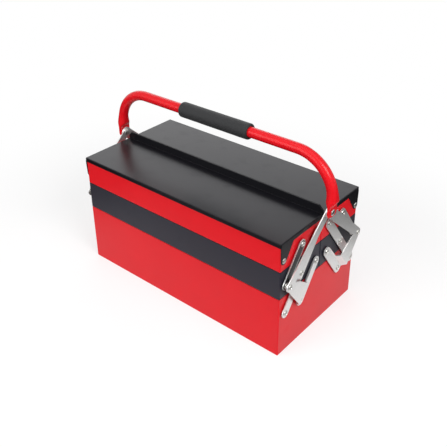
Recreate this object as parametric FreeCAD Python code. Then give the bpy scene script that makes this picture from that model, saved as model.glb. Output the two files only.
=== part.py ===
import FreeCAD, Part
import math
import os

# A five tray cantilever tool box in folded sheet steel, in millimetres.
# X runs along the length, Y from the front to the rear, Z up.
# The origin is the middle of the footprint, on the surface that the box stands on.
# The front and the rear are mirror images, and so are the two ends.

# Driving dimensions of the trays
box_length = 450.0
box_depth = 225.0
sheet = 1.0
base_height = 115.0
mid_height = 52.6
upper_height = 51.4
seam_gap = 0.4
centre_gap = 0.5
bend_radius = 1.6
hem_depth = 7.0

# Driving dimensions of the lids
lid_rise = 1.2
lid_clearance = 0.3
lid_lip = 8.0
rim_height = 14.0
rim_corner = 8.0
lid_hinge_inset = 7.0
lid_hinge_drop = 33.5
ear_width = 33.0
ear_radius = 7.0
ear_corner = 1.0

# Driving dimensions of the linkage
link_sheet = 1.8
link_width = 17.0
link_gap = 2.0
base_pin_drop = 31.0
stage_extra = 3.4
lever_pin_inset = 13.0
top_pin_offset = 17.5
pin_stagger = 1.0
plate_foot_radius = 9.5
stud_length = 3.8
layer_gap = 0.3
joggle_run = 6.0
web_crest = 11.2
web_shoulder = 22.8
web_inner_reach = 9.0
web_corner = 1.5
web_nose_radius = 7.0
arm_root_radius = 8.5
eye_radius = 10.0
hook_radius = 7.5
handle_pin_rise = 9.0
hook_flare_share = 0.47

# Driving dimensions of the rivets
shank_radius = 2.5
shoulder_radius = 5.0
head_radius = 5.0
head_height = 1.7
inner_head_height = 1.4
fit = 0.05
end_play = 0.1
stud_radius = 4.0
dome_share = 0.8
handle_shank_radius = 3.0
handle_head_radius = 5.5
handle_seat_play = 0.6
washer_radius = 9.0
washer_sheet = 0.8

# Driving dimensions of the handle
tube_radius = 9.2
tube_wall = 1.2
bar_rise = 91.5
grip_radius = 14.2
grip_length = 154.0
grip_edge = 3.0
flat_thickness = 4.0
flat_half_width = 13.0
flat_end_radius = 8.0
flat_rise = 11.0
neck_rise = 21.0
neck_straight = 1.0
neck_flat = 0.1

# Length by which cutting tools run past the sheet, and how near an edge has to be to be picked
overrun = 5.0
nearness = 0.05

half_length = box_length / 2
half_depth = box_depth / 2
mid_floor = base_height + seam_gap
upper_floor = mid_floor + mid_height + seam_gap
upper_rim = upper_floor + upper_height
lid_top = upper_rim + lid_rise + sheet
lid_outset = lid_clearance + sheet
hinge_y = half_depth - lid_hinge_inset
hinge_z = lid_top - lid_hinge_drop
link_radius = link_width / 2

# Places of the pins on one side, as distance from the middle plane and height
base_pin_height = base_height - base_pin_drop
stage_rise = mid_height + stage_extra
lever_pin_offset = half_depth - lever_pin_inset
stage_lean = (lever_pin_offset - top_pin_offset) / 2
pin_spacing = stage_lean + pin_stagger
mid_pin_height = base_pin_height + stage_rise
upper_pin_height = mid_pin_height + stage_rise
lever_foot = (lever_pin_offset, base_pin_height)
lever_middle = (lever_pin_offset - stage_lean, mid_pin_height)
lever_top = (top_pin_offset, upper_pin_height)
plate_foot = (lever_pin_offset - pin_spacing, base_pin_height)
plate_top = (lever_middle[0] - pin_spacing, mid_pin_height)
link_foot = (lever_middle[0] + pin_spacing, mid_pin_height)
link_top = (lever_top[0] + pin_spacing, upper_pin_height)
handle_pin_height = lid_top + handle_pin_rise
handle_pin = (0.0, handle_pin_height)
bar_height = handle_pin_height + bar_rise
bend_centre_radius = bar_rise - neck_rise - neck_straight

# Layers at one end, as distance out from the end wall
link_face = link_gap + link_sheet
head_seat = link_face + end_play
front_web = head_seat + head_height + layer_gap + stud_length
rear_web = front_web + link_sheet + layer_gap
washer_seat = rear_web + link_sheet + end_play
flat_seat = washer_seat + washer_sheet + end_play
post_x = half_length + flat_seat + flat_thickness / 2


def vec(x, y, z):
    return FreeCAD.Vector(x, y, z)


def block(x0, x1, y0, y1, z0, z1):
    return Part.makeBox(x1 - x0, y1 - y0, z1 - z0, vec(x0, y0, z0))


def rod(x0, x1, centre, radius):
    """A round bar along X at a place given as (y, z)."""
    return Part.makeCylinder(radius, x1 - x0, vec(x0, centre[0], centre[1]), vec(1, 0, 0))


def mirror_x(shape):
    return shape.mirror(vec(0, 0, 0), vec(1, 0, 0))


def mirror_y(shape):
    return shape.mirror(vec(0, 0, 0), vec(0, 1, 0))


def edges_along(shape, directions, keep):
    """Straight edges that run along one of the directions and whose middle passes the test."""
    found = []
    for edge in shape.Edges:
        first, last = edge.Vertexes[0].Point, edge.Vertexes[-1].Point
        run = last - first
        along = any(abs(abs(run.dot(d)) - run.Length) < nearness for d in directions)
        if along and keep((first + last) * 0.5):
            found.append(edge)
    return found


def belt(circles, x0, thickness):
    """A flat plate whose outline is a belt pulled tight round circles given as (y, z, radius)."""
    middle_y = sum(c[0] for c in circles) / len(circles)
    middle_z = sum(c[1] for c in circles) / len(circles)
    order = sorted(circles, key=lambda c: math.atan2(c[1] - middle_z, c[0] - middle_y))
    normals = []
    for i, (ya, za, ra) in enumerate(order):
        yb, zb, rb = order[(i + 1) % len(order)]
        run = math.hypot(yb - ya, zb - za)
        uy, uz = (yb - ya) / run, (zb - za) / run
        tilt = (ra - rb) / run
        side = math.sqrt(1 - tilt * tilt)
        normals.append((uy * tilt + uz * side, uz * tilt - uy * side))
    edges = []
    for i, (y, z, r) in enumerate(order):
        before, after = normals[i - 1], normals[i]
        start = math.atan2(before[1], before[0])
        sweep = (math.atan2(after[1], after[0]) - start) % (2 * math.pi)
        points = [vec(x0, y + r * math.cos(start + sweep * s), z + r * math.sin(start + sweep * s))
                  for s in (0, 0.5, 1)]
        edges.append(Part.Arc(*points).toShape())
        ny, nz, nr = order[(i + 1) % len(order)]
        leave = vec(x0, ny + nr * after[0], nz + nr * after[1])
        edges.append(Part.LineSegment(points[2], leave).toShape())
    face = Part.Face(Part.Wire(Part.__sortEdges__(edges)))
    return face.extrude(vec(thickness, 0, 0))


def rivet(place, seat, grip, shank=shank_radius, head=head_radius, shoulder=0.0):
    """A rivet with a flat head inside the wall, a shoulder up to the link and a domed head outside."""
    inside = half_length - sheet
    body = rod(inside - inner_head_height, inside, place, head)
    body = body.fuse(rod(inside, seat + grip + end_play + fit, place, shank))
    if shoulder > 0:
        body = body.fuse(rod(half_length, seat - end_play, place, shoulder))
    outer = rod(seat + grip + end_play, seat + grip + end_play + head_height, place, head)
    rim = [e for e in outer.Edges if abs(e.BoundBox.XMin - outer.BoundBox.XMax) < nearness]
    outer = outer.makeFillet(head_height * dome_share, rim)
    return body.fuse(outer).removeSplitter()


def tray(y0, y1, z0, z1, pins):
    """An open folded tray with a hem folded inwards along its rim."""
    upright = (vec(0, 0, 1),)
    flat = (vec(1, 0, 0), vec(0, 1, 0))
    outer = block(-half_length, half_length, y0, y1, z0, z1)
    outer = outer.makeFillet(bend_radius, edges_along(outer, upright, lambda p: True)
                             + edges_along(outer, flat, lambda p: abs(p.z - z0) < nearness))
    inner = block(-half_length + sheet, half_length - sheet, y0 + sheet, y1 - sheet,
                  z0 + sheet, z1 + overrun)
    inside_radius = bend_radius - sheet
    inner = inner.makeFillet(inside_radius, edges_along(inner, upright, lambda p: True)
                             + edges_along(inner, flat, lambda p: abs(p.z - z0 - sheet) < nearness))
    ring = block(-half_length + sheet, half_length - sheet, y0 + sheet, y1 - sheet,
                 z1 - hem_depth, z1)
    ring = ring.cut(block(-half_length + 2 * sheet, half_length - 2 * sheet, y0 + 2 * sheet,
                          y1 - 2 * sheet, z1 - hem_depth - overrun, z1 + overrun))
    shell = outer.cut(inner).fuse(ring).removeSplitter()
    for place in pins:
        shell = shell.cut(rod(-half_length - overrun, half_length + overrun, place,
                              shank_radius + fit))
    return shell


def lid():
    """The rear lid: a top sheet with lips on three sides, an upright rim and two hinge ears."""
    x1 = half_length + lid_outset
    y1 = half_depth + lid_outset
    z0 = lid_top - lid_lip
    outer = block(-x1, x1, centre_gap, y1, z0, lid_top)
    outside = edges_along(outer, (vec(0, 0, 1),), lambda p: p.y > half_depth)
    outside += edges_along(outer, (vec(1, 0, 0),), lambda p: p.y > half_depth and p.z > z0 + nearness)
    outside += edges_along(outer, (vec(0, 1, 0),), lambda p: p.z > z0 + nearness)
    outer = outer.makeFillet(bend_radius, outside)
    inner = block(-x1 + sheet, x1 - sheet, -overrun, y1 - sheet, z0 - overrun, lid_top - sheet)
    shell = outer.cut(inner)
    rim_top = lid_top + rim_height
    corners = [(-x1, lid_top - sheet), (x1, lid_top - sheet), (x1, rim_top - rim_corner),
               (x1 - rim_corner, rim_top), (-x1 + rim_corner, rim_top), (-x1, rim_top - rim_corner)]
    points = [vec(x, centre_gap, z) for x, z in corners]
    rim = Part.Face(Part.makePolygon(points + points[:1])).extrude(vec(0, sheet, 0))
    shell = shell.fuse(rim)
    ear = belt([(hinge_y, hinge_z, ear_radius),
                (y1 - ear_corner, z0 + ear_corner, ear_corner),
                (y1 - ear_width + ear_corner, z0 + ear_corner, ear_corner)],
               x1 - sheet, sheet)
    ear = ear.cut(rod(half_length, x1 + overrun, (hinge_y, hinge_z), shank_radius + fit))
    return shell.fuse(ear).fuse(mirror_x(ear)).removeSplitter()


def strip(places):
    """A straight link with round ends and a hole at each pin."""
    ends = [(y, z, link_radius) for y, z in (places[0], places[-1])]
    plate = belt(ends, half_length + link_gap, link_sheet)
    for place in places:
        plate = plate.cut(rod(half_length, half_length + link_face + overrun, place,
                              shank_radius + fit))
    return plate


def along_plate(start, rise, reach):
    """A place measured from a pin, along the inner strip of the cantilever plate and out from it."""
    run = math.hypot(stage_lean, stage_rise)
    uy, uz = -stage_lean / run, stage_rise / run
    return start[0] + uy * rise + uz * reach, start[1] + uz * rise - uy * reach


def folded_sheet(web):
    """The joggled sheet, long enough to be trimmed by the outline of the cantilever plate."""
    run = math.hypot(stage_lean, stage_rise)
    reach = box_depth
    low, high = half_length + link_gap, half_length + web
    slope = math.atan2(high - low, joggle_run)
    kink = link_sheet * math.tan(slope / 2)
    start = link_radius
    profile = [(-reach, low), (start, low), (start + joggle_run, high), (reach, high),
               (reach, high + link_sheet), (start + joggle_run - kink, high + link_sheet),
               (start - kink, low + link_sheet), (-reach, low + link_sheet)]
    foot = along_plate(plate_foot, -reach, 0)
    uy, uz = -stage_lean / run, stage_rise / run
    points = [vec(x, foot[0] + uz * q, foot[1] - uy * q) for q, x in profile]
    face = Part.Face(Part.makePolygon(points + points[:1]))
    return face.extrude(vec(0, uy * 2 * reach, uz * 2 * reach))


def cantilever_plate(web, hooked):
    """One pressed plate: an inner strip on two pins, a joggled web, and an arm up to the handle."""
    depth = web + link_sheet + overrun
    inner = belt([(*plate_foot, plate_foot_radius), (*plate_top, link_radius)],
                 half_length, depth)
    run = math.hypot(stage_lean, stage_rise)
    stud_lean, stud_rise = link_foot[0] - plate_foot[0], link_foot[1] - plate_foot[1]
    crest = (stud_rise * stage_rise - stud_lean * stage_lean) / run + web_crest
    bridge = belt([(*plate_foot, plate_foot_radius), (*link_foot, web_nose_radius),
                   (*along_plate(plate_foot, crest, web_inner_reach), web_corner),
                   (*along_plate(link_foot, web_crest, -web_shoulder), web_corner)],
                  half_length, depth)
    eye = hook_radius if hooked else eye_radius
    arm = belt([(*link_foot, arm_root_radius), (*handle_pin, eye)], half_length, depth)
    plate = inner.fuse(bridge).fuse(arm).removeSplitter().common(folded_sheet(web))
    for place in (plate_foot, plate_top, link_foot):
        plate = plate.cut(rod(half_length, half_length + depth, place, shank_radius + fit))
    if hooked:
        seat = handle_shank_radius + handle_seat_play
        mouth = eye_radius + overrun
        flare = seat + mouth * hook_flare_share
        points = [vec(half_length, -y, handle_pin_height + z)
                  for y, z in ((0, -seat), (mouth, -flare), (mouth, flare), (0, seat))]
        wedge = Part.Face(Part.makePolygon(points + points[:1])).extrude(vec(depth, 0, 0))
        plate = plate.cut(rod(half_length, half_length + depth, handle_pin, seat)).cut(wedge)
    else:
        plate = plate.cut(rod(half_length, half_length + depth, handle_pin,
                              handle_shank_radius + fit))
    return plate.removeSplitter()


def plate_stud(web):
    """The spacer stud at the outer corner of the web, which stands over the pin behind it."""
    inner = half_length + head_seat + head_height + layer_gap
    face = half_length + web
    stud = rod(inner, face - fit, link_foot, stud_radius)
    stud = stud.fuse(rod(face - fit, face + link_sheet + end_play, link_foot, shank_radius))
    top = rod(face + link_sheet + fit, face + link_sheet + fit + head_height, link_foot, head_radius)
    rim = [e for e in top.Edges if abs(e.BoundBox.XMin - top.BoundBox.XMax) < nearness]
    return stud.fuse(top.makeFillet(head_height * dome_share, rim)).removeSplitter()


def handle_rivet():
    """The pin at the top of the arms, with a head on each side."""
    inner = half_length + front_web - layer_gap
    outer = half_length + flat_seat + flat_thickness + end_play
    body = rod(inner - inner_head_height, inner, handle_pin, handle_head_radius)
    body = body.fuse(rod(inner, outer + fit, handle_pin, handle_shank_radius))
    top = rod(outer, outer + head_height, handle_pin, handle_head_radius)
    rim = [e for e in top.Edges if abs(e.BoundBox.XMin - top.BoundBox.XMax) < nearness]
    return body.fuse(top.makeFillet(head_height * dome_share, rim)).removeSplitter()


def handle_washer():
    ring = rod(half_length + washer_seat, half_length + washer_seat + washer_sheet, handle_pin,
               washer_radius)
    return ring.cut(rod(half_length, half_length + flat_seat, handle_pin,
                        handle_shank_radius + fit))


def soft_square(half_x, half_y, corner, z):
    """A level outline with four straight sides and four round corners, about the handle's post."""
    centres = [(half_x - corner, half_y - corner), (corner - half_x, half_y - corner),
               (corner - half_x, corner - half_y), (half_x - corner, corner - half_y)]
    edges = []
    for i, (cx, cy) in enumerate(centres):
        turn = [math.radians(90 * (i + s)) for s in (0, 0.5, 1)]
        arc = [vec(post_x + cx + corner * math.cos(a), cy + corner * math.sin(a), z) for a in turn]
        edges.append(Part.Arc(*arc).toShape())
        nx, ny = centres[(i + 1) % 4]
        last = turn[2]
        leave = vec(post_x + nx + corner * math.cos(last), ny + corner * math.sin(last), z)
        edges.append(Part.LineSegment(arc[2], leave).toShape())
    return Part.Wire(edges)


def bent_tube(radius):
    """The bent bar from neck to neck, as a solid rod of the given radius."""
    neck = handle_pin_height + neck_rise
    turn = bar_height - bend_centre_radius
    reach = post_x - bend_centre_radius
    slant = bend_centre_radius * (1 - math.cos(math.pi / 4))
    right = [vec(post_x, 0, neck), vec(post_x, 0, turn),
             vec(post_x - slant, 0, bar_height - slant), vec(reach, 0, bar_height)]
    left = [vec(-p.x, 0, p.z) for p in right]
    path = Part.Wire([Part.LineSegment(right[0], right[1]).toShape(),
                      Part.Arc(right[1], right[2], right[3]).toShape(),
                      Part.LineSegment(right[3], left[3]).toShape(),
                      Part.Arc(left[3], left[2], left[1]).toShape(),
                      Part.LineSegment(left[1], left[0]).toShape()])
    circle = Part.Wire(Part.makeCircle(radius, right[0], vec(0, 0, 1)))
    return path.makePipeShell([circle], True, False)


def handle_end():
    """The right end of the tube, pressed flat round the pin."""
    neck = handle_pin_height + neck_rise
    top = handle_pin_height + flat_rise
    half_flat = flat_thickness / 2
    round_section = soft_square(tube_radius, tube_radius, tube_radius - neck_flat, neck)
    flat_section = soft_square(half_flat, flat_half_width, half_flat - neck_flat, top)
    shell = Part.makeLoft([flat_section, round_section], True, True)
    bore = tube_radius - tube_wall
    bore_flat = half_flat - tube_wall
    shell = shell.cut(Part.makeLoft([soft_square(bore_flat, flat_half_width - tube_wall,
                                                 bore_flat - neck_flat, top),
                                     soft_square(bore, bore, bore - neck_flat, neck)], True, True))
    side = flat_half_width - flat_end_radius
    end_x = post_x - half_flat
    tongue = belt([(-side, handle_pin_height, flat_end_radius),
                   (side, handle_pin_height, flat_end_radius),
                   (flat_half_width - neck_flat, top - neck_flat, neck_flat),
                   (neck_flat - flat_half_width, top - neck_flat, neck_flat)],
                  end_x, flat_thickness)
    tongue = tongue.cut(rod(end_x - overrun, end_x + flat_thickness + overrun, handle_pin,
                            handle_shank_radius + fit))
    return shell.fuse(tongue)


def handle_tube():
    bar = bent_tube(tube_radius).cut(bent_tube(tube_radius - tube_wall))
    end = handle_end()
    return bar.fuse(end).fuse(mirror_x(end)).removeSplitter()


def handle_grip():
    half = grip_length / 2
    sleeve = rod(-half, half, (0, bar_height), grip_radius)
    rims = [e for e in sleeve.Edges if e.BoundBox.XLength < nearness]
    sleeve = sleeve.makeFillet(grip_edge, rims)
    return sleeve.cut(rod(-half - overrun, half + overrun, (0, bar_height), tube_radius + fit))


def both_ends(shape):
    return Part.Compound([shape, mirror_x(shape)])


def pins(places):
    """The shoulder rivets of one tray at both ends."""
    made = [rivet(p, half_length + link_gap, link_sheet, shoulder=shoulder_radius) for p in places]
    return Part.Compound(made + [mirror_x(m) for m in made])


def save(name, shape):
    solids = len(shape.Solids)
    print(f"{name:32s} solids {solids}  valid {shape.isValid()}  volume {shape.Volume / 1000:8.2f} cm3")
    shape.exportStep(f"parts/{name}.step")


def save_pair(name, shape):
    """The rear piece and its mirror image at the front."""
    save(f"{name}_rear", shape)
    save(f"{name}_front", mirror_y(shape))


def save_four(name, shape):
    """A piece at each end, at the rear and at the front."""
    for end, piece in (("right", shape), ("left", mirror_x(shape))):
        save(f"{name}_rear_{end}", piece)
        save(f"{name}_front_{end}", mirror_y(piece))


os.makedirs("parts", exist_ok=True)

base_pins = [lever_foot, plate_foot]
mid_pins = [lever_middle, plate_top, link_foot]
upper_pins = [lever_top, link_top]
hinge = (hinge_y, hinge_z)

base_holes = base_pins + [(-y, z) for y, z in base_pins]
save("base_box", tray(-half_depth, half_depth, 0, base_height, base_holes))
save_pair("base_rivets", pins(base_pins))
save_pair("mid_tray", tray(centre_gap, half_depth, mid_floor, mid_floor + mid_height, mid_pins))
save_pair("mid_rivets", pins(mid_pins))
save_pair("upper_tray", tray(centre_gap, half_depth, upper_floor, upper_rim, upper_pins + [hinge]))
save_pair("upper_rivets", pins(upper_pins))
save_pair("lid", lid())
save_pair("lid_rivets", both_ends(rivet(hinge, half_length + lid_clearance, sheet)))
save_four("long_lever", strip([lever_foot, lever_middle, lever_top]))
save_four("upper_link", strip([link_foot, link_top]))
rear_plate = cantilever_plate(rear_web, False)
front_plate = mirror_y(cantilever_plate(front_web, True))
for end, flip in (("right", lambda s: s), ("left", mirror_x)):
    save(f"cantilever_plate_rear_{end}", flip(rear_plate))
    save(f"cantilever_plate_front_{end}", flip(front_plate))
save("plate_studs_rear", both_ends(plate_stud(rear_web)))
save("plate_studs_front", both_ends(mirror_y(plate_stud(front_web))))
save("handle_rivets", both_ends(handle_rivet()))
save("handle_washers", both_ends(handle_washer()))
save("handle_tube", handle_tube())
save("handle_grip", handle_grip())
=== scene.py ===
# %% [markdown]
# A cantilever tool box: five trays in folded sheet steel, two lids, and linkages at both ends that
# swing the upper trays out to the front and the rear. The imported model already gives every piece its
# size and place, so this script loads it as a fixed frame and then dresses it: finishes for the sheet
# metal, turned rivets, a tube handle with its foam grip, and a small white studio.

import math
import bmesh
import bpy
from mathutils import Matrix, Vector


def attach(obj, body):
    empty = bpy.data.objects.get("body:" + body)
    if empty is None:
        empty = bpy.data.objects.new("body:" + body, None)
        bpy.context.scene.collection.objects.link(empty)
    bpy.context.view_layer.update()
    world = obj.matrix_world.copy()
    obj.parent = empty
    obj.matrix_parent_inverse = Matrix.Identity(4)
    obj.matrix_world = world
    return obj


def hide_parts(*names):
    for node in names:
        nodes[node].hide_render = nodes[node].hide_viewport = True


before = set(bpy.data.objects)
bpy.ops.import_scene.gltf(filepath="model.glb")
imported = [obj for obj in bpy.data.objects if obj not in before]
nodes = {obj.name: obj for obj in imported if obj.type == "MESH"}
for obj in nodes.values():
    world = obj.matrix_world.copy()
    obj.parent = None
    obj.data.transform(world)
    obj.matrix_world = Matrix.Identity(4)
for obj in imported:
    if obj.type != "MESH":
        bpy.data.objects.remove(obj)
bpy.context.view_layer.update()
MM = 0.001

# %% [markdown]
# The camera stands where the photographer stood. Its place and angles were fitted to the corners and
# seams of the trays, and its focal length is written in pixels of the square picture. The lens is
# shifted down a little, as a view camera's is, so that the uprights stay nearly parallel.

# %% Camera
camera_place = Vector((0.69664, -0.79512, 0.79450))
azimuth, elevation, roll = (math.radians(angle) for angle in (40.51, 27.94, -0.67))
picture_width, focal_length = 447, 668.81
sensor_width = 36.0
lens_shift = -0.13

level = Vector((math.cos(azimuth), math.sin(azimuth), 0))
back = Vector((math.sin(azimuth) * math.cos(elevation), -math.cos(azimuth) * math.cos(elevation),
               math.sin(elevation)))
steep = back.cross(level)
across = level * math.cos(roll) + steep * math.sin(roll)
upright = steep * math.cos(roll) - level * math.sin(roll)

camera = bpy.data.objects.new("camera", bpy.data.cameras.new("camera"))
bpy.context.scene.collection.objects.link(camera)
own_axes = Matrix((across, upright, back)).transposed().to_4x4()
camera.matrix_world = Matrix.Translation(camera_place) @ own_axes
camera.data.sensor_width = sensor_width
camera.data.lens = focal_length / picture_width * sensor_width
camera.data.shift_y = lens_shift
bpy.context.scene.camera = camera
bpy.context.scene.view_settings.view_transform = "Standard"
print("lens", round(camera.data.lens, 1), "mm")

# %% [markdown]
# A finish is a graph of shader nodes. Writing it as sums and products reads better than a list of
# links, so a Signal wraps one socket and turns operators into Math nodes. A Finish owns one node tree
# and makes every other node: the settings go first, since a few of them change the sockets.

# %% Signals and finishes
class Signal:
    """A socket of a node, which can be added, subtracted and multiplied."""

    def __init__(self, finish, socket):
        self.finish, self.socket = finish, socket

    def math(self, operation, *values):
        return self.finish.node("ShaderNodeMath", {"operation": operation}, dict(enumerate(values)))

    def __add__(self, other):
        return self.math("ADD", self, other)

    def __sub__(self, other):
        return self.math("SUBTRACT", self, other)

    def __rsub__(self, other):
        return self.math("SUBTRACT", other, self)

    def __mul__(self, other):
        return self.math("MULTIPLY", self, other)

    __radd__, __rmul__ = __add__, __mul__

    def either(self, other):
        """The larger of two signals, which joins two masks."""
        return self.math("MAXIMUM", self, other)


class Finish:
    """A node tree, with one method that makes its nodes."""

    def __init__(self, owner):
        owner.use_nodes = True
        self.owner, self.tree = owner, owner.node_tree
        self.tree.nodes.clear()

    def node(self, kind, settings=None, sockets=None, output=0):
        made = self.tree.nodes.new(kind)
        for name, value in (settings or {}).items():
            setattr(made, name, value)
        for name, value in (sockets or {}).items():
            if isinstance(value, Signal):
                self.tree.links.new(value.socket, made.inputs[name])
            else:
                made.inputs[name].default_value = value
        return Signal(self, made.outputs[output]) if made.outputs else made


print("signals add, subtract and multiply; finishes make the rest")

# %% [markdown]
# A few helpers serve every finish. Places are read in millimetres in the box's own frame, so a grain
# of half a millimetre is written as 0.5 and moves with its tray. A step between two values is a Map
# Range, and colours are mixed by a Mix node, since a Math node would turn them grey. One mask finds
# the folds and cut edges, another the hollows, and the last helper closes a finish with its bump.

# %% Helpers for finishes
def place_in_mm(finish, stretch=(1, 1, 1), turn=0.0):
    """The place on the piece, turned about the box's length and then stretched."""
    place = finish.node("ShaderNodeTexCoord", output="Object")
    turned = finish.node("ShaderNodeVectorRotate", {"rotation_type": "X_AXIS"},
                         {"Vector": place, "Angle": turn})
    scale = tuple(s / MM for s in stretch)
    return finish.node("ShaderNodeVectorMath", {"operation": "MULTIPLY"}, {0: turned, 1: scale})


def grain(finish, place, size, detail=2.0, roughness=0.5):
    """Soft noise whose patches are about that size."""
    return finish.node("ShaderNodeTexNoise", {"noise_dimensions": "3D"},
                       {"Vector": place, "Scale": 1 / size, "Detail": detail, "Roughness": roughness})


def ramp(finish, value, low, high, bottom=0.0, top=1.0):
    """A soft step from bottom to top while the value goes from low to high."""
    return finish.node("ShaderNodeMapRange", {"interpolation_type": "SMOOTHSTEP"},
                       {"Value": value, "From Min": low, "From Max": high,
                        "To Min": bottom, "To Max": top})


def mixed(finish, share, first, second):
    """Two colours mixed, the second by its share."""
    return finish.node("ShaderNodeMix", {"data_type": "RGBA"},
                       {0: share, 6: first, 7: second}, output=2)


def edge_mask(finish, radius, low=0.02, high=0.22):
    """One along the folds and cut edges, zero on the flats."""
    rounded = finish.node("ShaderNodeBevel", {"samples": 6}, {"Radius": radius})
    true = finish.node("ShaderNodeNewGeometry", output="Normal")
    alike = finish.node("ShaderNodeVectorMath", {"operation": "DOT_PRODUCT"}, {0: rounded, 1: true},
                        output="Value")
    return ramp(finish, 1 - alike, low, high)


def open_sky(finish, reach):
    """One on open faces, falling to zero in hollows, corners and under heads within that reach."""
    return finish.node("ShaderNodeAmbientOcclusion", {"samples": 8}, {"Distance": reach},
                       output="AO")


def surface(name, sockets, height, depth, soft_edge=None):
    """Ends a finish: a bump whose height is in parts of its depth, and the surface shader."""
    finish = height.finish
    under = {}
    if soft_edge:
        under["Normal"] = finish.node("ShaderNodeBevel", {"samples": 6}, {"Radius": soft_edge})
    normal = finish.node("ShaderNodeBump", {}, {"Strength": 1.0, "Distance": depth,
                                                "Height": height, **under})
    sockets = {**sockets, "Normal": normal}
    shader = finish.node("ShaderNodeBsdfPrincipled", {}, sockets)
    finish.node("ShaderNodeOutputMaterial", {}, {"Surface": shader})
    finish.owner.name = name
    return finish.owner


def colour(red, green, blue, lift=1.0):
    """A colour for a socket, made lighter or darker by its lift."""
    return (red * lift, green * lift, blue * lift, 1.0)


print("helpers ready")

# %% [markdown]
# The trays are powder coated. The powder melts into a skin that is nearly smooth: it keeps a faint
# orange peel about two millimetres across, a finer speckle from the pigment, and it draws thin over a
# fold, where the colour is a little deeper and the skin rougher. Handling leaves soft dull patches.
# One function makes the coat, so that red, charcoal and black differ only in their values.

# %% Powder coat
micrometre = 0.001 * MM


def powder_coat(name, tint, dullness, shine, peel=9.0):
    """A coat whose dullness is its roughness, and whose peel is the bump's depth in micrometres."""
    finish = Finish(bpy.data.materials.new(name))
    place = place_in_mm(finish)
    clouds = grain(finish, place, 70.0, detail=3.0)
    speckle = grain(finish, place, 0.45, detail=1.0)
    waves = grain(finish, place, 2.1, detail=1.5)
    patches = ramp(finish, grain(finish, place, 24.0, detail=4.0, roughness=0.6), 0.52, 0.72)
    thin = edge_mask(finish, 0.9 * MM)
    deep = colour(*tint, lift=0.88)
    light = colour(*tint, lift=1.08)
    body = mixed(finish, clouds * 0.6 + speckle * 0.4, deep, light)
    body = mixed(finish, thin * 0.5, body, colour(*tint, lift=0.62))
    chips = ramp(finish, grain(finish, place, 1.5, detail=3.0, roughness=0.65), 0.60, 0.66) * thin
    body = mixed(finish, chips * 0.8, body, colour(0.22, 0.215, 0.21))
    rough = (dullness - 0.06) + clouds * 0.05 + speckle * 0.06 + patches * 0.06 + thin * 0.10
    height = waves * 0.8 + speckle * 0.2 - chips * 1.5
    return surface(name, {"Base Color": body, "Roughness": rough, "IOR": 1.52,
                          "Specular IOR Level": shine, "Specular Tint": colour(0.95, 0.94, 1.0)},
                   height, peel * micrometre, soft_edge=0.5 * MM)


red_tint = (0.79, 0.0055, 0.0125)
charcoal_tint = (0.0240, 0.0228, 0.0330)
lid_tint = (0.0040, 0.0039, 0.0056)
red_coat = powder_coat("red_powder_coat", red_tint, dullness=0.31, shine=0.21)
charcoal_coat = powder_coat("charcoal_powder_coat", charcoal_tint, dullness=0.38, shine=0.26)
lid_coat = powder_coat("black_lid_coat", lid_tint, dullness=0.30, shine=0.228, peel=7.0)
print("coats", red_coat.name, charcoal_coat.name, lid_coat.name)

# %% [markdown]
# The handle is a bent tube in gloss red. Wet paint flows smoother than powder, so the peel is longer
# and lower, the shine stronger, and fine rub marks run round the tube from hands and hooks.

# %% Gloss red of the handle
def handle_gloss():
    finish = Finish(bpy.data.materials.new("handle_gloss"))
    place = place_in_mm(finish)
    rubs = grain(finish, place_in_mm(finish, stretch=(1.0, 0.08, 0.08)), 0.5, detail=3.0)
    clouds = grain(finish, place, 35.0, detail=2.0)
    waves = grain(finish, place, 3.2, detail=1.0)
    rub_mask = ramp(finish, rubs, 0.60, 0.78)
    body = mixed(finish, clouds, colour(*red_tint, lift=0.88), colour(*red_tint, lift=0.98))
    rough = 0.24 + clouds * 0.03 + rub_mask * 0.06
    return surface("handle_gloss", {"Base Color": body, "Roughness": rough, "IOR": 1.52,
                                    "Specular IOR Level": 0.22},
                   waves * 0.9 + rubs * 0.1, 2.0 * micrometre)


gloss_red = handle_gloss()
print("gloss", gloss_red.name)

# %% [markdown]
# The links and plates are pressed from steel strip and plated with bright zinc. The strip's rolling
# lines run along each link, so the grain is turned to the lean of the links and drawn out along it.
# Tumbling before plating rounds the cut edges, so that they catch the light. The cut edges are also
# painted darker, partly as greyer sheared metal and partly as painted shade along each strip's outline.
# Over that lie the cloudy spangle of the zinc and a few handling scratches, and painted shade darkens
# the zinc in hollows, under heads and between parts. The upper links at the front get painted shade
# over their faces, as if the plate's arm shadowed them, and only their rims are left bright.

# %% Bright zinc
pitch_across, pitch_up = 41.0, 56.0
lean = math.atan2(pitch_across, pitch_up)
zinc_tone = 0.82


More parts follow.
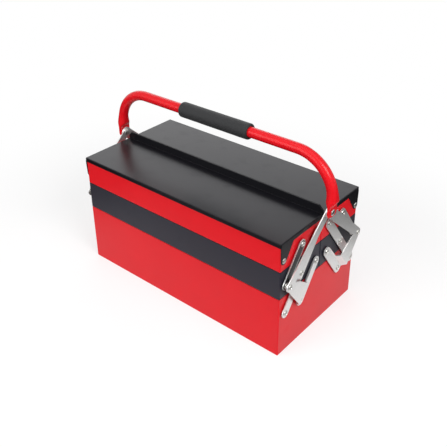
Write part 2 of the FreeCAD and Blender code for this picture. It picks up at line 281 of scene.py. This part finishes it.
def bright_zinc(name, turn, face_shade=0.0):
    """Zinc rolled along that turn; painted shade darkens its faces, but not their rims, by that share.
    """
    finish = Finish(bpy.data.materials.new(name))
    place = place_in_mm(finish)
    rolled = grain(finish, place_in_mm(finish, (1.0, 1.0, 0.03), turn), 0.16, detail=3.0)
    spangle = finish.node("ShaderNodeTexVoronoi", {"feature": "F1"},
                          {"Vector": place, "Scale": 1 / 2.6}, output="Color")
    spangle = finish.node("ShaderNodeSeparateColor", {}, {"Color": spangle})
    clouds = grain(finish, place, 12.0, detail=3.0)
    scratch = grain(finish, place_in_mm(finish, (1.0, 0.05, 1.0), turn + 0.7), 0.3, detail=2.0)
    scratches = ramp(finish, scratch, 0.66, 0.74)
    shade = rolled * 0.50 + spangle * 0.12 + clouds * 0.38
    body = mixed(finish, shade, colour(0.80, 0.80, 0.79, lift=zinc_tone),
                 colour(1.14, 1.14, 1.13, lift=zinc_tone))
    # Painted shade: the zinc goes darker in hollows, under heads and between parts, within 3 mm.
    painted_shade_in_gaps = ramp(finish, open_sky(finish, 3.0 * MM), 0.15, 0.75, 0.45, 0.0)
    body = mixed(finish, painted_shade_in_gaps, body, colour(0.10, 0.098, 0.095))
    # Painted shade over the faces by the share given, leaving a bright rim about 2 mm wide.
    lit_rim = edge_mask(finish, 4.0 * MM, low=0.002, high=0.05)  # reaches about 2 mm in
    body = mixed(finish, (1 - lit_rim) * face_shade, body, colour(0.045, 0.045, 0.046))
    # Cut edges painted darker: partly greyer sheared metal, partly painted shade along the outline.
    cut_edge_and_shade = edge_mask(finish, 0.9 * MM)
    body = mixed(finish, cut_edge_and_shade * (0.65 * (1 - face_shade)), body, colour(0.16, 0.158, 0.15))
    rough = 0.20 + clouds * 0.12 + rolled * 0.10 + spangle * 0.04
    rough = rough + scratches * 0.10 + cut_edge_and_shade * 0.10
    height = rolled * 0.6 + spangle * 0.15 + clouds * 0.25 - scratches * 0.5
    return surface(name, {"Base Color": body, "Metallic": 0.82, "Roughness": rough},
                   height, 4.0 * micrometre, soft_edge=0.45 * MM)


zinc_front = bright_zinc("bright_zinc_front_lean", -lean)
zinc_rear = bright_zinc("bright_zinc_rear_lean", lean)
zinc_face_shaded = bright_zinc("zinc_front_lean_face_shaded", -lean, face_shade=0.93)
print("zinc", zinc_front.name, zinc_rear.name, zinc_face_shaded.name)

# %% [markdown]
# Rivets are turned and headed from softer wire and plated in the same bath. The tool that closes the
# head leaves fine rings round it. The steel is a shade darker and duller than the links, and painted
# shade darkens it nearly to black in the hollow of its head and at its foot.

# %% Rivet steel
def rivet_steel():
    finish = Finish(bpy.data.materials.new("rivet_steel"))
    place = place_in_mm(finish)
    clouds = grain(finish, place, 1.8, detail=3.0)
    fine = grain(finish, place, 0.25, detail=2.0)
    corner = edge_mask(finish, 0.5 * MM)
    # Painted shade, nearly black, in the hollow of the head and at its foot.
    hollow = ramp(finish, open_sky(finish, 2.5 * MM), 0.40, 0.72, 0.95, 0.0)
    body = mixed(finish, clouds, colour(0.52, 0.51, 0.48), colour(0.78, 0.77, 0.74))
    body = mixed(finish, corner * 0.35, body, colour(0.24, 0.235, 0.22))
    body = mixed(finish, hollow, body, colour(0.035, 0.034, 0.033))
    rough = 0.22 + clouds * 0.14 + corner * 0.12 + hollow * 0.2
    return surface("rivet_steel", {"Base Color": body, "Metallic": 1.0, "Roughness": rough},
                   clouds * 0.6 + fine * 0.4, 8.0 * micrometre, soft_edge=0.2 * MM)


rivet_finish = rivet_steel()
print("rivets", rivet_finish.name)

# %% [markdown]
# The grip is closed cell foam rubber. Its skin is matt and nearly black, with pores a few tenths of
# a millimetre across, slow swells where the sleeve was pushed on, and a faint bloom that lifts the
# colour at grazing angles, which sheen gives.

# %% Foam of the grip
def grip_foam():
    finish = Finish(bpy.data.materials.new("grip_foam"))
    place = place_in_mm(finish)
    cells = finish.node("ShaderNodeTexVoronoi", {"feature": "SMOOTH_F1"},
                        {"Vector": place, "Scale": 1 / 0.55, "Smoothness": 0.4})
    pores = ramp(finish, cells, 0.15, 0.62)
    swells = grain(finish, place, 14.0, detail=2.0)
    lint = ramp(finish, grain(finish, place_in_mm(finish, (0.15, 1.0, 1.0), 0.4), 0.4, detail=2.0),
                0.70, 0.80)
    body = mixed(finish, pores * 0.7 + swells * 0.3, colour(0.0085, 0.0088, 0.0098),
                 colour(0.0185, 0.0190, 0.0205))
    body = mixed(finish, lint * 0.25, body, colour(0.06, 0.06, 0.063))
    return surface("grip_foam", {"Base Color": body, "Roughness": 0.58 + pores * 0.16,
                                 "Specular IOR Level": 0.35, "Sheen Weight": 0.08,
                                 "Sheen Roughness": 0.5},
                   swells * 0.55 - pores * 0.45, 0.12 * MM)


foam = grip_foam()
print("foam", foam.name)

# %% [markdown]
# Every sheet metal piece of the imported model keeps its mesh and only changes its finish. The links of
# the front lean one way and those of the rear the other, so each side gets the zinc whose grain runs
# along it, and the upper links at the front get the one with painted shade over their faces. The pieces
# made further down stand for the rivets, the handle and its grip.

# %% Dress the imported pieces
def dress(node, finish):
    for slot in nodes[node].material_slots:
        slot.material = finish


coats = {"base_box": red_coat, "upper_tray_front": red_coat, "upper_tray_rear": red_coat,
         "mid_tray_front": charcoal_coat, "mid_tray_rear": charcoal_coat,
         "lid_front": lid_coat, "lid_rear": lid_coat, "handle_tube": gloss_red,
         "handle_grip": foam}
for node in nodes:
    if node in coats:
        dress(node, coats[node])
    elif "rivets" in node or "studs" in node or "washers" in node:
        dress(node, rivet_finish)
    elif node.startswith("upper_link_front"):
        dress(node, zinc_face_shaded)
    else:
        dress(node, zinc_rear if "rear" in node else zinc_front)
print("dressed", len(nodes), "pieces")

# %% [markdown]
# New pieces are all skins drawn over rings of points: a rivet's rings are circles round its pin, and
# the handle's rings are the tube's sections. One helper closes the rings into a mesh, smooths it but
# for its sharp edges, and gives it its finish, its place in the mechanism and its slot.

# %% A skin over rings
def skin(rings, first):
    """Corners and faces over rings of equal counts, closed at both ends; first is its first corner."""
    count = len(rings[0])
    corners = [corner for ring in rings for corner in ring]
    faces = [tuple(first + i for i in reversed(range(count)))]
    for r in range(len(rings) - 1):
        for i in range(count):
            j = (i + 1) % count
            faces.append(tuple(first + r * count + k for k in (i, j, j + count, i + count)))
    last = (len(rings) - 1) * count
    faces.append(tuple(first + last + i for i in range(count)))
    return corners, faces


def piece(name, skins, finish, body, sharp=35.0):
    """One object from several skins, given in millimetres, riding on a body."""
    corners, faces = [], []
    for rings in skins:
        more_corners, more_faces = skin(rings, len(corners))
        corners += more_corners
        faces += more_faces
    mesh = bpy.data.meshes.new(name)
    mesh.from_pydata([[v * MM for v in corner] for corner in corners], [], faces)
    made = bpy.data.objects.new(name, mesh)
    bpy.context.scene.collection.objects.link(made)
    shaped = bmesh.new()
    shaped.from_mesh(mesh)
    bmesh.ops.recalc_face_normals(shaped, faces=shaped.faces)
    shaped.to_mesh(mesh)
    shaped.free()
    mesh.shade_smooth()
    mesh.set_sharp_from_angle(angle=math.radians(sharp))
    mesh.materials.append(finish)
    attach(made, body)
    return made


print("skins ready")

# %% [markdown]
# The pins of the linkage are semi-tubular shoulder rivets: a flat head inside the tray, a shoulder
# that holds the link off the wall, and outside a rim rolled over from a hollow end. Each is a profile
# of (distance out from the end wall, radius) turned round its pin. The hollow, with the painted shade
# laid in it, makes them look like dark dots on the bright links. The lid hinges have plain domed heads.

# %% Rivet profiles
end_wall = 225.0
head_radius, head_height = 4.9, 1.65
link_seat, lid_seat = 3.9, 1.4
front_web, rear_web = 9.7, 11.8
web_sheet, play = 1.8, 0.05
inner_head = [(-2.4, 0.0), (-2.4, 3.8), (-2.2, 4.5), (-1.9, 4.85), (-1.05, 4.95), (-1.0, 2.5)]


def rolled_head(seat, radius=head_radius, height=head_height):
    """The hollow outer head, from its seat outwards, as shares of its height and radius."""
    shares = [(0.0, 0.50), (0.0, 0.93), (0.10, 1.0), (0.30, 0.99), (0.62, 0.91), (0.88, 0.77),
              (1.0, 0.63), (0.96, 0.53), (0.74, 0.46), (0.30, 0.43), (-0.50, 0.40), (-0.62, 0.0)]
    return [(seat + height * along, radius * out) for along, out in shares]


def domed_head(seat, radius=head_radius, height=head_height):
    """The solid outer head, in the same shares."""
    shares = [(0.0, 0.50), (0.0, 0.95), (0.12, 1.0), (0.30, 0.98), (0.62, 0.83), (0.86, 0.60),
              (0.98, 0.32), (1.0, 0.0)]
    return [(seat + height * along, radius * out) for along, out in shares]


shoulder = [(0.0, 2.5), (0.0, 5.0), (1.9, 5.0), (1.9, 2.5)]
link_rivet = inner_head + shoulder + rolled_head(link_seat)
lid_rivet = inner_head + domed_head(lid_seat)


def stud(web):
    """A spacer between the plate's web and the rivet behind it, headed over outside."""
    return [(5.95, 0.0), (5.95, 3.6), (6.3, 4.0), (web - play, 4.0), (web - play, 2.5),
            *rolled_head(web + web_sheet + play)]


tongue_face = 18.7
pivot_pin = [(8.0, 0.0), (8.0, 4.6), (8.3, 5.3), (9.4, 5.4), (9.4, 3.0), (tongue_face, 3.0),
             *domed_head(tongue_face, radius=5.4)[1:]]
print("profiles", len(link_rivet), len(lid_rivet), len(pivot_pin), "points")

# %% [markdown]
# The pins sit on two lean lines of equal pitch on each side of the box. Their places are written once
# for the rear, as (distance from the middle, height), and mirrored to the front and to the far end.

# %% Turn the rivets
turn_steps = 28
least_radius = 0.02


def turned(profile, place, side, end):
    """Rings of one rivet; side is 1 at the rear and -1 at the front, end is 1 at the right."""
    y, z = side * place[0], place[1]
    angles = [2 * math.pi * i / turn_steps for i in range(turn_steps)]
    rings = []
    for out, radius in profile:
        x, radius = end * (end_wall + out), max(radius, least_radius)
        rings.append([(x, y + radius * math.cos(a), z + radius * math.sin(a)) for a in angles])
    return rings


def both_ends(profile, places, side):
    return [turned(profile, place, side, end) for place in places for end in (1, -1)]


pin_z = 231.0
base_pins = [(99.5, 84.0), (57.5, 84.0)]
mid_pins = [(58.5, 140.0), (16.5, 140.0), (100.5, 140.0)]
upper_pins = [(17.5, 196.0), (59.5, 196.0)]
lid_pins = [(105.5, 188.5)]
stud_pins = [(100.5, 140.0)]
handle_pins = [(0.0, pin_z)]
for side_name, side, web in (("front", -1, front_web), ("rear", 1, rear_web)):
    sets = [("base_rivets", base_pins, link_rivet, "base"),
            ("mid_rivets", mid_pins, link_rivet, side_name + "_mid"),
            ("upper_rivets", upper_pins, link_rivet, side_name + "_upper"),
            ("lid_rivets", lid_pins, lid_rivet, side_name + "_upper"),
            ("plate_studs", stud_pins, stud(web), side_name + "_plates")]
    for node, places, profile, body in sets:
        made = piece(f"{node}_{side_name}_turned", both_ends(profile, places, side), rivet_finish,
                     body)
        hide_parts(f"{node}_{side_name}")
made = piece("handle_rivets_turned", both_ends(pivot_pin, handle_pins, 1), rivet_finish,
             "rear_plates")
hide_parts("handle_rivets")

# %% [markdown]
# The handle is one length of tube. It is bent round a former at both corners, and its ends are
# pressed flat for the pins. A pressed tube is two flats joined by round edges, so every section here
# is a circle that has been squeezed: half its thickness, half its width, and edges as round as it is
# thick. Above the pressed end the tube thickens soon and narrows slowly, well up the post, where a
# plain loft between two sections would show a hard crease.

# %% Handle sections
post_x, bar_z = 241.6, 322.5
tube_radius, bend_radius = 9.2, 69.5
flat_half_thickness, flat_half_width, tongue_corner = 2.0, 13.0, 8.0
neck_low, neck_round, neck_high = 10.0, 22.0, 40.0
tip_thin_share, tip_rise = 0.62, 0.8
section_steps = 48


def smooth_share(value, low, high):
    """Zero below low, one above high, and a soft step between them."""
    share = min(1.0, max(0.0, (value - low) / (high - low)))
    return share * share * (3 - 2 * share)


def squeeze(rise):
    """Half the thickness and half the width of the tube at a rise above the pin."""
    thickening = smooth_share(rise, neck_low, neck_round)
    narrowing = smooth_share(rise, neck_low, neck_high)
    thick = flat_half_thickness + (tube_radius - flat_half_thickness) * thickening
    wide = flat_half_width + (tube_radius - flat_half_width) * narrowing
    if rise < 0:
        drop = math.sqrt(max(0.0, tongue_corner ** 2 - rise ** 2))
        wide = flat_half_width - tongue_corner + drop
        tip = math.sqrt(min(1.0, (rise + tongue_corner) / tip_rise))
        thick *= tip_thin_share + (1 - tip_thin_share) * tip
    return thick, wide


def section(x, z, heading, thick, wide):
    """One ring about a place; heading is the angle of the tube, zero when it runs straight up."""
    ring = []
    for i in range(section_steps):
        a = 2 * math.pi * (i + 0.5) / section_steps
        out = thick * math.cos(a)
        y = (wide - thick) * math.copysign(1, math.sin(a)) + thick * math.sin(a)
        ring.append((x + out * math.cos(heading), y, z + out * math.sin(heading)))
    return ring


print("sections of", section_steps, "points")

# %% [markdown]
# The sections are strung along the path: up the pressed end and the post, round the bend, and along
# half of the bar. The left half is the same list mirrored and taken backwards.

# %% Handle
neck_steps, bend_steps = 14, 22
rises = [-8.0, -7.9, -7.6, -7.0, -6.0, -4.0, -2.0, 0.0, 4.0, 8.0]
rises += [neck_low + (neck_high - neck_low) * i / neck_steps for i in range(neck_steps + 1)]
bend_start = bar_z - bend_radius - pin_z
stations = [(post_x, pin_z + rise, 0.0, *squeeze(rise)) for rise in rises if rise < bend_start]
for i in range(bend_steps + 1):
    turn = math.pi / 2 * i / bend_steps
    rise = bend_start + bend_radius * turn
    stations.append((post_x - bend_radius * (1 - math.cos(turn)),
                     bar_z - bend_radius * (1 - math.sin(turn)), turn, *squeeze(rise)))
right_half = [section(*station) for station in stations]
left_half = [[(-x, y, z) for x, y, z in ring] for ring in reversed(right_half)]
handle = piece("handle_bent_tube", [right_half + left_half], gloss_red, "handle",
               sharp=50.0)
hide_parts("handle_tube")
print("handle of", len(right_half) * 2, "sections")

# %% [markdown]
# The grip is a sleeve of closed cell foam pushed over the bar. It is turned like the rivets, but its
# outside swells and sinks by a tenth of a millimetre along its length, its ends are rolled soft, and
# its end faces dip towards the tube, where the foam is stretched.

# %% Foam grip
grip_half, grip_radius, grip_edge = 77.0, 14.1, 3.1
grip_rings, grip_steps, roll_steps = 72, 64, 6
dipped_face = [(1.3, 0.1), (0.5, 0.9), (0.05, 2.0)]
swell_one, swell_two = 0.05, 0.04
half_end = [(-grip_half + dip, tube_radius + out) for dip, out in dipped_face]
for i in reversed(range(roll_steps + 1)):
    turn = math.pi / 2 * i / roll_steps
    half_end.append((-grip_half + grip_edge * (1 - math.sin(turn)),
                     grip_radius - grip_edge * (1 - math.cos(turn))))
straight = (grip_half - grip_edge) * 2
sleeve = [(-grip_half + grip_edge + straight * i / grip_rings, grip_radius)
          for i in range(1, grip_rings)]
profile = half_end + sleeve + [(-x, r) for x, r in reversed(half_end)]


def foam_ring(x, radius):
    """A ring of the grip, with slow swells on its outside only."""
    ring = []
    for i in range(grip_steps):
        a = 2 * math.pi * i / grip_steps
        swell = swell_one * math.sin(x / 9.0 + 2 * a) + swell_two * math.sin(x / 4.3 - 3 * a)
        soft = radius + (swell if radius > tube_radius + 3 else 0.0)
        ring.append((x, soft * math.cos(a), bar_z + soft * math.sin(a)))
    return ring


grip = piece("foam_grip_sleeve", [[foam_ring(x, r) for x, r in profile]], foam, "handle",
             sharp=60.0)
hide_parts("handle_grip")
print("grip of", len(profile), "rings")

# %% [markdown]
# The studio is a white table top under soft light, with the room falling away dark beyond it. The
# camera sees the table as white paper with the shadow of the box on it, and plain white further out.
# What the metal mirrors is the table itself: white close to the box and darker with distance. That
# fall is what turns the lower plates bright and the upper ones grey. Other light meets a table of
# plain pale paint, which throws some of it back at the box.

# %% Floor
box_half = (0.225, 0.1125, 0.0)


def ray_is(finish, kind):
    """One for rays of that kind, such as Camera or Glossy."""
    return finish.node("ShaderNodeLightPath", output=f"Is {kind} Ray")


def far_from_box(finish, near, far):
    """Zero on the table close to the box, one from a distance in metres on."""
    place = finish.node("ShaderNodeTexCoord", output="Object")
    apart = finish.node("ShaderNodeVectorMath", {"operation": "ABSOLUTE"}, {0: place})
    past = finish.node("ShaderNodeVectorMath", {"operation": "SUBTRACT"}, {0: apart, 1: box_half})
    past = finish.node("ShaderNodeVectorMath", {"operation": "MAXIMUM"}, {0: past, 1: (0, 0, 0)})
    distance = finish.node("ShaderNodeVectorMath", {"operation": "LENGTH"}, {0: past}, output="Value")
    return ramp(finish, distance, near, far)


floor_size = 6.0
grid = bmesh.new()
bmesh.ops.create_grid(grid, x_segments=8, y_segments=8, size=floor_size / 2)
floor = bpy.data.objects.new("floor", bpy.data.meshes.new("floor"))
grid.to_mesh(floor.data)
grid.free()
bpy.context.scene.collection.objects.link(floor)

table = Finish(bpy.data.materials.new("white_table"))
direct = ray_is(table, "Camera").either(ray_is(table, "Transmission"))
mirror = ray_is(table, "Glossy")
shadow_depth, open_light, table_bounce, dusk_light = 0.42, 0.92, 0.62, 0.05
seen_near, seen_far = 0.20, 0.60
mirrored_near, mirrored_far = 0.05, 0.31
paper = table.node("ShaderNodeBsdfDiffuse", {},
                   {"Color": colour(shadow_depth, shadow_depth, shadow_depth)})
glow = table.node("ShaderNodeEmission", {}, {"Strength": 1.0 - shadow_depth * open_light})
paper = table.node("ShaderNodeAddShader", {}, {0: paper, 1: glow})
white = table.node("ShaderNodeEmission", {}, {"Strength": 1.0})
dusk = table.node("ShaderNodeEmission", {}, {"Strength": dusk_light})
paint = table.node("ShaderNodeBsdfDiffuse", {},
                   {"Color": colour(table_bounce, table_bounce, table_bounce)})
seen = table.node("ShaderNodeMixShader", {},
                  {0: far_from_box(table, seen_near, seen_far), 1: paper, 2: white})
mirrored = table.node("ShaderNodeMixShader", {},
                      {0: far_from_box(table, mirrored_near, mirrored_far),
                       1: paper, 2: dusk})
lit = table.node("ShaderNodeMixShader", {}, {0: mirror, 1: paint, 2: mirrored})
shown = table.node("ShaderNodeMixShader", {}, {0: direct, 1: lit, 2: seen})
table.node("ShaderNodeOutputMaterial", {}, {"Surface": shown})
floor.data.materials.append(table.owner)
print("floor", floor_size, "m across")

# %% [markdown]
# The world is the white room above the table. It lights the box evenly from all sides at part
# strength, and it is plain white for the camera and in reflections, which is what greys the lids.

# %% World
ambient = 0.22
bpy.context.scene.world = bpy.data.worlds.new("studio")
sky = Finish(bpy.context.scene.world)
bright = ray_is(sky, "Camera").either(ray_is(sky, "Glossy")).either(ray_is(sky, "Transmission"))
room = sky.node("ShaderNodeBackground", {},
                {"Color": colour(1, 1, 1), "Strength": bright * (1 - ambient) + ambient})
sky.node("ShaderNodeOutputWorld", {}, {"Surface": room})
print("ambient", ambient)

# %% [markdown]
# Four soft boxes light the box as they would a catalogue picture: a weak one overhead for the lids
# and the floor, a wide one low at the front left for the long face, a smaller one high at the right
# for the end with the linkage, and one behind at the left that lifts the rear edges. All are large
# against the box, so that shadows are soft.

# %% Soft boxes
box_middle = Vector((0.0, 0.0, 0.12))


def soft_box(name, place, width, depth, power):
    """An area lamp in metres and watts, turned towards the middle of the box."""
    lamp = bpy.data.objects.new(name, bpy.data.lights.new(name, "AREA"))
    bpy.context.scene.collection.objects.link(lamp)
    lamp.data.shape, lamp.data.size, lamp.data.size_y = "RECTANGLE", width, depth
    lamp.data.energy = power
    lamp.location = place
    lamp.rotation_mode = "QUATERNION"
    lamp.rotation_quaternion = (box_middle - Vector(place)).to_track_quat("-Z", "Y")


soft_box("overhead", (0.1, -0.35, 1.5), 1.4, 1.2, 5.0)
soft_box("front", (-0.5, -1.7, 0.95), 2.0, 1.3, 19.6)
soft_box("right", (1.35, -0.40, 1.25), 0.9, 0.7, 17.6)
soft_box("back_left", (-1.15, 1.25, 0.95), 1.7, 1.1, 6.8)
print("four soft boxes")
